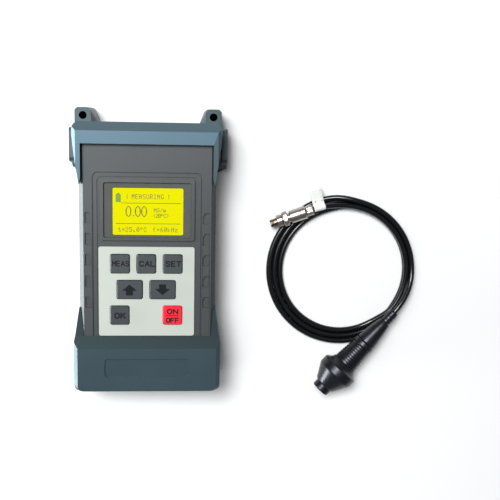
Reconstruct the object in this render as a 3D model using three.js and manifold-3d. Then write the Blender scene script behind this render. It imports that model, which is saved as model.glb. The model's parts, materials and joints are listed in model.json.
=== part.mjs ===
// Handheld test meter with a detached probe on a coiled cable.
// Millimetres, +Z up. The meter lies on its back, display up, strap lugs towards +Y.
// All shapes are laid out about the meter's own centre line, then the whole
// assembly is shifted so that its base centre is the origin.
import * as THREE from "three";
import * as BufferGeometryUtils from "three/addons/utils/BufferGeometryUtils.js";
import { ConvexGeometry } from "three/addons/geometries/ConvexGeometry.js";
import Module from "manifold-3d";

const wasm = await Module();
wasm.setup();

// ------------------------------------------------------------ driving sizes
const HALF_W = 49; // bumper half width
const EAR_IN = 49.4, EAR_OUT = 53.4, EAR_R = 11.5; // tilt stand ears
const Y_LUG = 94.6, Y_TOP = 85.2, Y_BOT = -95; // ends of the meter
const THICK = 46; // bumper thickness
const CASE_HALF = 45.3, CASE_Z0 = 4, DECK = 41, PARTING = 22;
const CASE_Y0 = -91.3, CASE_Y1 = 80.4;
const WALL = 2.3, EDGE = 3; // case wall, front edge chamfer
const GAP = 0.3; // clearance between touching pieces
const PIVOT_Y = 70, PIVOT_Z = 14; // tilt stand pivot
const KEYS = {
  meas_key: [-18.2, -8.4, 12.8, 12.8],
  cal_key: [-0.8, -8.4, 12.8, 12.8],
  set_key: [16.8, -8.4, 12.8, 12.8],
  up_key: [-11.9, -25.9, 17.3, 12.7],
  down_key: [10.1, -25.9, 17.3, 12.7],
  ok_key: [-18.5, -43.4, 12.7, 12.8],
  power_key: [16.8, -43.4, 12.7, 12.8],
};
const KEY_TOP = 42.3, KEY_TRAVEL = 0.9;
const CELL_R = 7.1, CELL_LEN = 49.5, CELL_Z = 13.6;
const CORD_D = 4; // probe cable diameter

// ------------------------------------------------------------ shape helpers
// merged mesh whose faces point out, whichever way its profile was drawn
const closed = (g) => {
  const c = g.index ? g.toNonIndexed() : g.clone();
  for (const a of Object.keys(c.attributes)) if (a !== "position") c.deleteAttribute(a);
  const m = BufferGeometryUtils.mergeVertices(c, 1e-5);
  const p = m.attributes.position, ix = m.index;
  const [A, B, C] = [new THREE.Vector3(), new THREE.Vector3(), new THREE.Vector3()];
  let volume = 0;
  const keep = [];
  for (let i = 0; i < ix.count; i += 3) {
    const t = [ix.getX(i), ix.getX(i + 1), ix.getX(i + 2)];
    if (t[0] === t[1] || t[1] === t[2] || t[0] === t[2]) continue;
    A.fromBufferAttribute(p, t[0]); B.fromBufferAttribute(p, t[1]); C.fromBufferAttribute(p, t[2]);
    volume += A.dot(B.cross(C)) / 6;
    keep.push(...t);
  }
  if (volume < 0) for (let i = 0; i < keep.length; i += 3) [keep[i + 1], keep[i + 2]] = [keep[i + 2], keep[i + 1]];
  m.setIndex(keep);
  return m;
};
const solid = (g) => {
  const m = closed(g);
  return new wasm.Manifold(new wasm.Mesh({
    numProp: 3,
    vertProperties: new Float32Array(m.attributes.position.array),
    triVerts: new Uint32Array(m.index.array),
  }));
};
const geometry = (s) => {
  const m = s.getMesh();
  const p = new Float32Array(m.numVert * 3);
  for (let i = 0; i < m.numVert; i++)
    for (let k = 0; k < 3; k++) p[3 * i + k] = m.vertProperties[i * m.numProp + k];
  const g = new THREE.BufferGeometry();
  g.setAttribute("position", new THREE.BufferAttribute(p, 3));
  g.setIndex(new THREE.BufferAttribute(new Uint32Array(m.triVerts), 1));
  return g;
};
const block = (x0, x1, y0, y1, z0, z1) =>
  solid(new THREE.BoxGeometry(x1 - x0, y1 - y0, z1 - z0).translate((x0 + x1) / 2, (y0 + y1) / 2, (z0 + z1) / 2));
const hull = (pts) => solid(new ConvexGeometry(pts.map((p) => new THREE.Vector3(...p))));
const outline = (pts) => new THREE.Shape(pts.map((p) => new THREE.Vector2(...p)));
// polygon in XY pulled along Z
const plate = (pts, z0, z1) =>
  solid(new THREE.ExtrudeGeometry(outline(pts), { depth: z1 - z0, bevelEnabled: false, steps: 1 }).translate(0, 0, z0));
// polygon in YZ pulled along X
const sidePlate = (pts, x0, x1) => {
  const g = new THREE.ExtrudeGeometry(outline(pts), { depth: x1 - x0, bevelEnabled: false, steps: 1 });
  // shape x -> Y, shape y -> Z, depth -> X
  g.applyMatrix4(new THREE.Matrix4().set(0, 0, 1, x0, 1, 0, 0, 0, 0, 1, 0, 0, 0, 0, 0, 1));
  return solid(g);
};
const roundRect = (x0, x1, y0, y1, r, n = 4) => {
  const pts = [];
  const corner = (cx, cy, a0) => {
    for (let i = 0; i <= n; i++) {
      const a = a0 + (i / n) * Math.PI / 2;
      pts.push([cx + r * Math.cos(a), cy + r * Math.sin(a)]);
    }
  };
  corner(x1 - r, y1 - r, 0);
  corner(x0 + r, y1 - r, Math.PI / 2);
  corner(x0 + r, y0 + r, Math.PI);
  corner(x1 - r, y0 + r, 1.5 * Math.PI);
  return pts;
};
// cylinder along Z
const rod = (x, y, r, z0, z1, n = 24) =>
  solid(new THREE.CylinderGeometry(r, r, z1 - z0, n).rotateX(Math.PI / 2).translate(x, y, (z0 + z1) / 2));
// cylinder along Y
const rodY = (x, z, r, y0, y1, n = 24) =>
  solid(new THREE.CylinderGeometry(r, r, y1 - y0, n).translate(x, (y0 + y1) / 2, z));
// cylinder along X
const rodX = (y, z, r, x0, x1, n = 14) =>
  solid(new THREE.CylinderGeometry(r, r, x1 - x0, n).rotateZ(Math.PI / 2).translate((x0 + x1) / 2, y, z));
const join = (...s) => s.reduce((a, b) => a.add(b));
const cut = (a, ...s) => s.reduce((x, y) => x.subtract(y), a);
const mirrorX = (s) => s.mirror([1, 0, 0]);
// body of revolution about Z from [radius, height] pairs that start and end on the axis
const turned = (pts, n = 32) =>
  new THREE.LatheGeometry(pts.map((p) => new THREE.Vector2(...p)), n).rotateX(Math.PI / 2);

const meter = new THREE.Group();
const add = (name, g, color, roughness = 0.6, metalness = 0, parent = meter) => {
  const geo = g.isBufferGeometry ? closed(g) : geometry(g);
  const mesh = new THREE.Mesh(geo, new THREE.MeshStandardMaterial({ color, roughness, metalness }));
  mesh.name = name;
  parent.add(mesh);
  return mesh;
};

const GREY = 0x5f6467, BLUE = 0x5b7a8c, DARK = 0x2b2e30, KEY = 0x474d50;

// ------------------------------------------------------------ case halves
// outer block of the case with its chamfered long edges
const caseBody = (x, y0, y1, z0, z1, e, c) => {
  const top = roundRect(-x + e, x - e, y0 + 0.01, y1 - 0.01, c).map((p) => [...p, z1]);
  const mid = roundRect(-x, x, y0, y1, c).map((p) => [...p, z1 - e]);
  const low = roundRect(-x, x, y0, y1, c).map((p) => [...p, z0]);
  return hull([...top, ...mid, ...low]);
};
const deckPocket = plate(roundRect(-33.2, 33.2, -58.6, 49.6, 3), 40.2, 42); // under bezel and keypad
const railPockets = [];
for (const [a, b] of [[18.6, 25.8], [4.2, 11.9], [-9.6, -2.3], [-24.2, -16.8], [-38.4, -31]])
  railPockets.push(plate([[36.9, a], [41.2, a], [41.2, b], [38.2, b], [36.9, b - 2.4]], 39.4, 42));
const groove = cut(
  plate(roundRect(-36.3, 36.3, -70, 52.5, 3.6), 39.8, 42),
  plate(roundRect(-35.3, 35.3, -71, 51.5, 3), 39.7, 42.1));
let front = caseBody(CASE_HALF, CASE_Y0, CASE_Y1, PARTING + 0.15, DECK, EDGE, 5);
front = cut(front, caseBody(CASE_HALF - WALL, CASE_Y0 + WALL, CASE_Y1 - WALL, PARTING - 5, DECK - 2.4, EDGE, 3));
const screwAt = [[-39.2, 64], [39.2, 64], [-39.2, -80], [39.2, -80]];
const boardScrewAt = [[-33, 57], [33, 57], [-33, -70], [33, -70]];
for (const [x, y] of screwAt) front = join(front, rod(x, y, 3.4, 22.6, 39, 12));
for (const [x, y] of boardScrewAt) front = join(front, rod(x, y, 3, 33.8, 39, 12));
for (const [x, y] of screwAt) front = cut(front, rod(x, y, 1.5, 22, 34, 10));
for (const [x, y] of boardScrewAt) front = cut(front, rod(x, y, 1.3, 33, 38, 8));
front = cut(front, deckPocket, groove, ...railPockets, ...railPockets.map(mirrorX),
  block(-25.8, 25.8, 9.9, 44.1, 36, 42));
for (const [x, y, w, h] of Object.values(KEYS))
  front = cut(front, plate(roundRect(x - w / 2 - 0.5, x + w / 2 + 0.5, y - h / 2 - 0.5, y + h / 2 + 0.5, 1.6, 2), 36, 42));
// socket hole in the top end, half in each case half
const socketHole = rodY(0, 22, 7.6, 70, 90, 20);
front = cut(front, socketHole, rodX(PIVOT_Y, PIVOT_Z, 2.9, 40, 50), rodX(PIVOT_Y, PIVOT_Z, 2.9, -50, -40));
add("front_case", front, GREY, 0.55);

let rear = caseBody(CASE_HALF, CASE_Y0, CASE_Y1, 0, PARTING - CASE_Z0 - 0.15, EDGE, 5);
rear = rear.mirror([0, 0, 1]).translate([0, 0, PARTING - 0.15]); // chamfer on the back edges
let rearIn = caseBody(CASE_HALF - WALL, CASE_Y0 + WALL, CASE_Y1 - WALL, 0, 20, EDGE, 3)
  .mirror([0, 0, 1]).translate([0, 0, CASE_Z0 + WALL + 20]);
rear = cut(rear, rearIn);
// battery compartment, open towards the back
const BAT = { x: 31.5, y0: -54.5, y1: 1.5 };
rear = join(rear, block(-BAT.x - 1.6, BAT.x + 1.6, BAT.y0 - 1.6, BAT.y1 + 1.6, 5, 22.8));
rear = cut(rear, block(-BAT.x, BAT.x, BAT.y0, BAT.y1, 3, 21.2),
  plate(roundRect(-34.5, 34.5, -57.2, 4.2, 2), 3, 6));
for (const x of [-15, 0, 15]) // ribs between the cells
  rear = join(rear, block(x - 0.3, x + 0.3, BAT.y0 - 0.5, BAT.y1 + 0.5, 17.5, 22));
for (const [x, y] of screwAt) rear = join(rear, rod(x, y, 3.4, 5, 21.8, 12));
for (const [x, y] of screwAt) rear = cut(rear, rod(x, y, 1.7, 3, 23, 10), rod(x, y, 2.8, 3, 7.4, 12));
rear = cut(rear, socketHole, rodX(PIVOT_Y, PIVOT_Z, 2.9, 40, 50), rodX(PIVOT_Y, PIVOT_Z, 2.9, -50, -40));
add("rear_case", rear, GREY, 0.6);

add("battery_door", join(
  plate(roundRect(-34.1, 34.1, -56.8, 3.8, 1.8), 4.0, 5.7),
  block(-6, 6, -0.4, 3.4, 5.6, 5.85)), GREY, 0.6);
for (let i = 0; i < 4; i++) {
  const x = -22.5 + 15 * i, up = i % 2 ? 1 : -1, mid = -26.5;
  const cell = new THREE.LatheGeometry([[0, -CELL_LEN / 2], [CELL_R - 0.5, -CELL_LEN / 2], [CELL_R, -CELL_LEN / 2 + 0.5],
    [CELL_R, CELL_LEN / 2 - 1.6], [CELL_R - 0.6, CELL_LEN / 2 - 1], [2.7, CELL_LEN / 2 - 1], [2.7, CELL_LEN / 2], [0, CELL_LEN / 2]]
    .map((p) => new THREE.Vector2(...p)), 14);
  if (up < 0) cell.rotateX(Math.PI);
  add(`aa_cell_${i + 1}`, cell.translate(x, mid, CELL_Z), i % 2 ? 0x8c6a3c : 0x2e3a44, 0.35, 0.4);
}
add("battery_contacts_upper", block(-30, 30, 0.4, 1.1, 8, 17), 0xb9bcc0, 0.3, 0.9);
add("battery_contacts_lower", block(-30, 30, -54.1, -53.4, 8, 17), 0xb9bcc0, 0.3, 0.9);

// ------------------------------------------------------------ end bumpers
// side outline of the top bumper, cut away near the back for the tilt stand
let top = caseBody(HALF_W, 40, Y_TOP, 0.01, THICK, 2.6, 4.5);
top = cut(top, caseBody(CASE_HALF + GAP, -120, CASE_Y1 + GAP, CASE_Z0 - GAP, DECK + GAP, EDGE, 5),
  block(-43.4, 43.4, 0, 70.9, 30, 60),
  sidePlate([[79.2, 46.1], [85.4, 39.8], [85.4, 60], [79.2, 60]], -60, 60),
  block(-60, 60, 30, 58, -1, 9), block(-46, 46, 30, 58, -1, 20),
  // wings narrow to a tip
  plate([[49.2, 79], [48.4, 70], [45.6, 52], [44.4, 44.2], [43, 39], [60, 39], [60, 79]], -1, 50),
  plate([[-49.2, 79], [-60, 79], [-60, 39], [-43, 39], [-44.4, 44.2], [-45.6, 52], [-48.4, 70]], -1, 50),
  plate([[43.3, 49], [44.5, 44.2], [44.5, 38], [36, 38], [36, 49]], 30, 60),
  plate([[-43.3, 49], [-36, 49], [-36, 38], [-44.5, 38], [-44.5, 44.2]], 30, 60),
  block(-60, 60, 30, 44.2, -1, 60));
// strap lugs: a square face with a flank sloping down on the inner side
const lug = cut(
  hull([[37.7, 80.2, 27], [38.4, 92.6], [39.6, Y_LUG - 0.5], [40.8, Y_LUG], [47.2, Y_LUG], [49, Y_LUG - 1.8], [49, 80.2]].map(([x, y]) => [x, y, 27])
    .concat([[33.6, 80.2], [34.4, 85.4], [37.6, 93.4], [39, Y_LUG], [47.2, Y_LUG], [49, Y_LUG - 1.8], [49, 80.2]].flatMap(([x, y]) => [[x, y, 17], [x, y, 0.5]]))),
  rod(43.5, 89.3, 2.65, -1, 40, 16),
  block(20, 60, 60, CASE_Y1 + GAP, 0, 60));
top = join(top, lug, mirrorX(lug));
top = cut(top, rodY(0, 22, 9.6, 78, 90, 24), rodX(PIVOT_Y, PIVOT_Z, 2.9, 40, 60), rodX(PIVOT_Y, PIVOT_Z, 2.9, -60, -40));
add("top_bumper", top, BLUE, 0.5);

let bottom = caseBody(HALF_W, Y_BOT, -38.5, 0.01, THICK, 2.6, 3.6);
bottom = cut(bottom, caseBody(CASE_HALF + GAP, CASE_Y0 - GAP, 120, CASE_Z0 - GAP, DECK + GAP, EDGE, 5),
  // sloped front lip, running on into the wings
  sidePlate([[-65.8, 46.1], [-57.6, 41.2], [-36, 39.2], [-30, 39.2], [-30, 60], [-65.8, 60]], -60, 60),
  sidePlate([[-57.7, 40.8], [-30, 40.8], [-30, 60], [-57.7, 60]], -42.4, 42.4),
  block(-46, 46, -58, -30, -1, 20),
  plate([[49.1, -61.5], [48.2, -56.5], [45.6, -38.5], [60, -38.5], [60, -61.5]], -1, 50),
  plate([[-49.1, -61.5], [-60, -61.5], [-60, -38.5], [-45.6, -38.5], [-48.2, -56.5]], -1, 50),
  plate([[42.4, -43.5], [45.6, -38.4], [36, -38.4], [36, -43.5]], 30, 60),
  plate([[-42.4, -43.5], [-36, -43.5], [-36, -38.4], [-45.6, -38.4]], 30, 60),
  plate(roundRect(-28.4, 28.4, -85.1, -72.6, 2), 44.7, 47));
add("bottom_bumper", bottom, 0x48606e, 0.5);

// ------------------------------------------------------------ display
add("display_bezel", cut(
  plate(roundRect(-31.2, 31.2, 7.3, 48.1, 1.8), 40.4, 42.2),
  plate(roundRect(-29, 29, 8.9, 45.8, 1.6), 40, 43)), 0x4a4f52, 0.5);
add("display_lens", plate(roundRect(-28.7, 28.7, 9.2, 45.5, 1.3), 40.5, 41.6), 0x333333, 0.1);
add("lcd_panel", block(-25.4, 25.4, 10.2, 43.8, 37.2, 40.1), 0xe2e308, 0.4);
add("lcd_board", cut(block(-30.5, 30.5, 5.5, 48.5, 35.2, 36.8)), 0x1f5a3a, 0.6);
add("lcd_header", block(-20, 20, 45.4, 47.9, 33.8, 34.9), 0x1c1c1c, 0.6);

// ------------------------------------------------------------ keypad
let overlay = plate(roundRect(-32.4, 31.3, -57.5, 3, 1.2, 2), 40.4, 41.3);
for (const [x, y, w, h] of Object.values(KEYS))
  overlay = cut(overlay, plate(roundRect(x - w / 2 - 0.3, x + w / 2 + 0.3, y - h / 2 - 0.3, y + h / 2 + 0.3, 1.4, 2), 40, 42));
add("keypad_overlay", overlay, 0xd6dcd4, 0.6);
for (const [name, [x, y, w, h]] of Object.entries(KEYS)) {
  const top = roundRect(x - w / 2 + 0.45, x + w / 2 - 0.45, y - h / 2 + 0.45, y + h / 2 - 0.45, 1, 3).map((p) => [...p, KEY_TOP]);
  const mid = roundRect(x - w / 2, x + w / 2, y - h / 2, y + h / 2, 1.1, 3).map((p) => [...p, KEY_TOP - 0.45]);
  const low = mid.map(([a, b]) => [a, b, 37.6]);
  const cap = join(hull([...top, ...mid, ...low]),
    block(x - w / 2 - 1.3, x + w / 2 + 1.3, y - h / 2 - 1.3, y + h / 2 + 1.3, 37.1, 38.3),
    rod(x, y, 2, 35.9, 37.4, 8));
  add(name, cap, name === "power_key" ? 0xe0303c : KEY, 0.55);
}
let domes = block(-27.5, 27.5, -52, 2, 33.7, 34);
for (const [x, y] of Object.values(KEYS))
  domes = join(domes, solid(new THREE.CylinderGeometry(1.2, 2.6, 0.7, 8).rotateX(Math.PI / 2).translate(x, y, 34.25)));
add("dome_sheet", domes, 0xc8c8c4, 0.4);

// ------------------------------------------------------------ board and screws
let board = block(-38, 38, -76, 62, 31.8, 33.4);
for (const [x, y] of boardScrewAt) board = cut(board, rod(x, y, 1.6, 31, 34, 12));
board = join(board, block(-12, 8, -30, -10, 29.6, 31.9), block(14, 28, 20, 34, 30.2, 31.9),
  block(-30, -20, 30, 40, 30, 31.9));
for (const [x, y] of screwAt) board = cut(board, rod(x, y, 4.2, 29, 35, 16));
add("main_board", board, 0x1d6b40, 0.6);
boardScrewAt.forEach(([x, y], i) => add(`board_screw_${i + 1}`,
  turned([[0, 30.2], [2.1, 30.2], [2.4, 30.5], [2.4, 31.5], [1, 31.5], [1, 37], [0, 37.4]], 8).translate(x, y, 0), 0xa8abb0, 0.35, 0.9));
screwAt.forEach(([x, y], i) => add(`case_screw_${i + 1}`,
  turned([[0, 5], [2.1, 5], [2.4, 5.3], [2.4, 7], [1.2, 7], [1.2, 32], [0, 33]], 8).translate(x, y, 0), 0x8f9296, 0.35, 0.9));

// ------------------------------------------------------------ probe socket in the top end
let shell = new THREE.LatheGeometry([[5.2, 79.3], [5.2, 83.4], [6, 83.4], [7.2, 83.0], [8.4, 82.6], [8.4, 81], [7.2, 81],
  [7.2, 70.5], [5.2, 70.5], [5.2, 79.3]].map((p) => new THREE.Vector2(...p)), 20).translate(0, 0, 22);
let shellS = solid(shell);
shellS = cut(shellS, block(-0.8, 0.8, 78, 90, 26.6, 28.2));
add("probe_socket", shellS, 0xb4b4b0, 0.3, 0.9);
let insert = solid(new THREE.CylinderGeometry(4.9, 4.9, 5.4, 16).translate(0, 73.9, 22));
for (let i = 0; i < 4; i++) {
  const a = Math.PI / 4 + (i * Math.PI) / 2;
  insert = join(insert, rodY(2.6 * Math.cos(a), 22 + 2.6 * Math.sin(a), 0.5, 76, 79, 8));
}
add("socket_insert", insert, 0xc9b27a, 0.4, 0.2);
add("socket_nut", cut(
  solid(new THREE.CylinderGeometry(9.8, 9.8, 2.6, 6).translate(0, 76.3, 22)), rodY(0, 22, 7.5, 70, 80, 16)), 0xa8abb0, 0.35, 0.9);

// ------------------------------------------------------------ tilt stand
let stand = plate([[-45, 20], [45, 20], [45, 49.6], [48.4, 51.8], [EAR_OUT, 54.4], [EAR_OUT, 57], [EAR_IN, 57], [EAR_IN, 53],
  [-EAR_IN, 53], [-EAR_IN, 57], [-EAR_OUT, 57], [-EAR_OUT, 54.4], [-48.4, 51.8], [-45, 49.6]], 0.4, 3.4);
const earShape = [[53.9, 0.4], [64, 2.2], [78.8, 2.2], [PIVOT_Y + EAR_R, 5], [PIVOT_Y + EAR_R, 20.6], [80.8, 22.8], [78.8, 23.8],
  [61, 23.8], [59, 22.8], [58, 20.6], [57.4, 12], [56.5, 9], [53.9, 5]];
const ear = cut(sidePlate(earShape, EAR_IN, EAR_OUT), rodX(PIVOT_Y, PIVOT_Z, 2.9, 40, 60), rodX(PIVOT_Y, PIVOT_Z, 4.5, EAR_OUT - 1.2, 60));
stand = join(stand, ear, mirrorX(ear));
add("tilt_stand", stand, 0x34403f, 0.6);
const pin = join(rodX(PIVOT_Y, PIVOT_Z, 2.5, 43.4, EAR_OUT - 0.6), rodX(PIVOT_Y, PIVOT_Z, 4.1, EAR_OUT - 0.9, EAR_OUT));
add("stand_pin_right", pin, 0x9a9da0, 0.35, 0.9);
add("stand_pin_left", mirrorX(pin), 0x9a9da0, 0.35, 0.9);

// ------------------------------------------------------------ probe
// it lies on its flared skirt, axis level, tail over the coiled cable
const PROBE_K = 1.037; // size of the drawn probe profile
const PROBE_NOSE = [123.2, -104.5, 13.3 * PROBE_K]; // centre of the sensing face
const PROBE_TURN = 47.4; // direction of the axis from the nose to the tail, degrees from +X
const deg = Math.PI / 180;
const probe = new THREE.Group();
probe.position.set(...PROBE_NOSE);
probe.rotation.set(0, 0, PROBE_TURN * deg);
meter.add(probe);
// body of revolution about the probe axis from [radius, distance behind the sensing face]
const along = (pts, n = 20) => new THREE.LatheGeometry(pts.map((p) => new THREE.Vector2(p[0] * PROBE_K, p[1] * PROBE_K)), n).rotateZ(-Math.PI / 2);
add("probe_tip", along([[0, 0], [5.7, 0], [6.2, 0.5], [6.2, 4.6], [4.8, 4.6], [4.8, 2.0], [0, 2.0]]), 0x1a1b1c, 0.35, 0, probe);
add("sensor_coil", along([[2.2, 2.4], [4.4, 2.4], [4.4, 6.4], [2.2, 6.4], [2.2, 2.4]], 12), 0xb06a34, 0.4, 0.6, probe);
add("ferrite_core", along([[0, 2.4], [1.8, 2.4], [1.8, 8.5], [0, 8.5]], 12), 0x3a3a3c, 0.7, 0, probe);
add("probe_skirt", along([[4.8, 4.9], [7.0, 4.9], [7.6, 5.3], [13.0, 14.9], [13.3, 15.8], [13.3, 20.6], [12.9, 21.3],
  [11.0, 22.4], [9.6, 24.0], [9.0, 25.6], [7.0, 25.6], [7.0, 12], [4.8, 8.8], [4.8, 4.9]]), 0x151617, 0.35, 0, probe);
const ribs = [[5.0, 25.9]];
for (let i = 0; i < 6; i++) {
  const s = 25.9 + i * 2.7, r = 8.7 - i * 0.24;
  ribs.push([r - 0.5, s], [r, s + 0.5], [r, s + 1.9]);
}
ribs.push([6.9, 42.1], [5.0, 42.1], [5.0, 25.9]);
add("probe_body", along(ribs), 0x151617, 0.35, 0, probe);
add("probe_collar", along([[3.6, 42.4], [7.0, 42.4], [7.4, 42.8], [7.4, 45.6], [7.0, 46], [3.6, 46], [3.6, 42.4]]), 0x151617, 0.35, 0, probe);
add("probe_tail", along([[2.4, 46.3], [7.0, 46.3], [7.0, 47], [6.2, 53], [5.2, 60], [3.9, 65.8], [2.4, 65.8], [2.4, 46.3]]), 0x151617, 0.35, 0, probe);
add("cord_boot", along([[2.25, 66.1], [3.5, 66.1], [3.5, 72], [3.0, 75.6], [2.25, 75.6], [2.25, 66.1]], 16), 0x151617, 0.4, 0, probe);

// ------------------------------------------------------------ cable
// Three turns and a bit, counter-clockwise from the probe's tail to the plug. The turns lie
// side by side at the left and bottom, and two on two at the right and top.
const COIL_C = [138, -19.3];
const D = CORD_D;
const smooth = (x) => { const t = Math.min(1, Math.max(0, x)); return t * t * (3 - 2 * t); };
// middle radius of the bundle at direction a (degrees)
const middle = (a) => 49.35 + 1.3 * Math.sin(a * deg) + 0.35 * Math.cos(a * deg);
const T_OPEN = [80, 103], T_STACK = [302, 325]; // where the bundle spreads and where it stacks
const spread = (a) => {
  const b = ((a % 360) + 360) % 360;
  return b < 180 ? smooth((b - T_OPEN[0]) / (T_OPEN[1] - T_OPEN[0])) : 1 - smooth((b - T_STACK[0]) / (T_STACK[1] - T_STACK[0]));
};
// point of the cable's centre line at the running angle a, which starts at -36
export const onCoil = (a) => {
  const pass = Math.floor((a + 360 - T_STACK[0]) / 360); // the pass number changes where the bundle stacks
  const t = spread(a), local = ((a % 360) + 360) % 360;
  let off, z = D / 2;
  if (local < 180) {
    off = [0.5 * (1 - t) + Math.sin((t * Math.PI) / 2), 0.5 * (1 - t), -0.5 - 0.5 * t, -0.5][pass];
    if (pass === 0) z = D / 2 + D * Math.cos((t * Math.PI) / 2);
    if (pass === 3) z = 1.5 * D;
  } else if (local > T_STACK[0] && pass === 0) {
    off = 0.5;
    z = 1.5 * D;
  } else {
    const m = local > T_STACK[0] ? pass - 1 : pass; // turn index counted from the last stacking
    const u = 1 - t;
    off = [1 - 0.5 * u, -0.5 * u, -0.5 * u - Math.cos((u * Math.PI) / 2)][m];
    if (m === 2) z = D / 2 + D * Math.sin((u * Math.PI) / 2);
  }
  const r = middle(a) + off * D;
  return [COIL_C[0] + r * Math.cos(a * deg), COIL_C[1] + r * Math.sin(a * deg), z];
};
{
  const N = 36, pos = [], idx = [];
  for (let i = 0; i < N; i++) {
    const a = (i / N) * 360;
    const t = spread(a), half = D * (1 + 0.5 * t) + 0.05;
    const b = a > 180 ? a - 360 : a;
    const low = b < 0 ? 1 - smooth((b + 56) / 14) : smooth((b - 100) / 5);
    const h = D * (2 - low);
    for (const [d, z] of [[-half, 0], [half, 0], [half, h], [-half, h]]) {
      const r = middle(a) + d;
      pos.push(COIL_C[0] + r * Math.cos(a * deg), COIL_C[1] + r * Math.sin(a * deg), z);
    }
  }
  for (let i = 0; i < N; i++) {
    const j = (i + 1) % N;
    for (let k = 0; k < 4; k++) {
      const l = (k + 1) % 4;
      idx.push(4 * i + k, 4 * i + l, 4 * j + l, 4 * i + k, 4 * j + l, 4 * j + k);
    }
  }
  const g = new THREE.BufferGeometry();
  g.setAttribute("position", new THREE.BufferAttribute(new Float32Array(pos), 3));
  g.setIndex(idx);
  add("cord_coil", g, 0x121314, 0.3);
}
const tube = (pts, r, n, steps) => {
  const curve = new THREE.CatmullRomCurve3(pts.map((p) => new THREE.Vector3(...p)), false, "centripetal");
  const s = [];
  for (let i = 0; i < n; i++) s.push(new THREE.Vector2(r * Math.cos((2 * Math.PI * i) / n), r * Math.sin((2 * Math.PI * i) / n)));
  return new THREE.ExtrudeGeometry(new THREE.Shape(s), { extrudePath: curve, steps, bevelEnabled: false });
};
const probePoint = (s, up = 0) => [
  PROBE_NOSE[0] + s * Math.cos(PROBE_TURN * deg), PROBE_NOSE[1] + s * Math.sin(PROBE_TURN * deg), PROBE_NOSE[2] + up];
const polar = (r, a, z) => [COIL_C[0] + r * Math.cos(a * deg), COIL_C[1] + r * Math.sin(a * deg), z];
// lead from the boot down on to the bundle
add("cord_probe_lead", tube([probePoint(78.9), probePoint(83, -0.3), polar(48.9, -22.5, 12), polar(49.9, -13.5, 10.45)], D / 2, 8, 7), 0x121314, 0.3);

// plug, lying on the bundle; w runs from its back to its front
const PLUG_BACK = [115.1, 26.4, 10.6], PLUG_TURN = 199.8, PLUG_DIP = 3.5;
const plugDir = new THREE.Vector3(Math.cos(PLUG_TURN * deg) * Math.cos(PLUG_DIP * deg),
  Math.sin(PLUG_TURN * deg) * Math.cos(PLUG_DIP * deg), -Math.sin(PLUG_DIP * deg));
const plug = new THREE.Group();
plug.position.set(...PLUG_BACK);
plug.quaternion.setFromUnitVectors(new THREE.Vector3(0, 1, 0), plugDir);
meter.add(plug);
const round = (pts, n = 18) => new THREE.LatheGeometry(pts.map((p) => new THREE.Vector2(...p)), n);
const NICKEL = 0xb9b4aa;
add("plug_back_nut", round([[2.25, 0], [3.1, 0], [3.6, 0.5], [3.6, 4.6], [3.3, 5.0], [2.25, 5.0], [2.25, 0]], 8), NICKEL, 0.25, 0.95, plug);
add("plug_barrel", round([[2.25, 5.3], [4.3, 5.3], [4.7, 5.8], [4.7, 16.7], [4.4, 17.2], [3.3, 17.2], [3.3, 26.4], [2.95, 26.4], [2.95, 18], [2.25, 17], [2.25, 5.3]]), NICKEL, 0.25, 0.95, plug);
add("plug_sleeve", round([[3.6, 18.4], [4.9, 18.4], [5.3, 18.8], [5.3, 22.1], [4.9, 22.5], [4.0, 22.7], [4.0, 23.1], [4.4, 23.4], [4.4, 26.3], [4.1, 26.7], [3.6, 26.7], [3.6, 18.4]]), NICKEL, 0.2, 0.95, plug);
let front5 = solid(round([[2.3, 27.1], [2.75, 27.1], [2.75, 31.6], [2.6, 31.8], [2.3, 31.8], [2.3, 27.1]], 24));
front5 = join(front5, solid(round([[2.2, 26.8], [2.9, 26.8], [2.9, 28], [2.2, 28], [2.2, 26.8]], 24)));
front5 = cut(front5, solid(new THREE.BoxGeometry(1.1, 3.4, 2).translate(0, 30.6, 2.4)));
add("plug_front_sleeve", geometry(front5), 0x9a8f80, 0.35, 0.9, plug);
let pinsG = solid(new THREE.CylinderGeometry(1.95, 1.95, 8, 20).translate(0, 24.4, 0));
for (let i = 0; i < 4; i++) {
  const a = Math.PI / 4 + (i * Math.PI) / 2;
  pinsG = join(pinsG, solid(new THREE.CylinderGeometry(0.32, 0.32, 3, 8).translate(1.1 * Math.cos(a), 29.5, 1.1 * Math.sin(a))));
}
add("plug_insert", geometry(pinsG), 0xc8b070, 0.4, 0.2, plug);
const plugPoint = (w) => [PLUG_BACK[0] + w * plugDir.x, PLUG_BACK[1] + w * plugDir.y, PLUG_BACK[2] + w * plugDir.z];
// lead from the bundle up into the plug
add("cord_plug_lead", tube([polar(49.1, 106, 8.7), polar(49.7, 110, 9.9), plugPoint(-1.0), plugPoint(2.2)], D / 2, 8, 6), 0x121314, 0.3);
// flag label folded round the lead, standing out from it
{
  const c = polar(49.4, 111.2, 9.9);
  const flag = new THREE.BoxGeometry(8.4, 11.4, 0.5).translate(0, 3.1 + 5.7, 0).rotateZ(19.5 * deg).translate(...c);
  add("cord_label", flag, 0xf2f2ee, 0.7);
}

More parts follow.
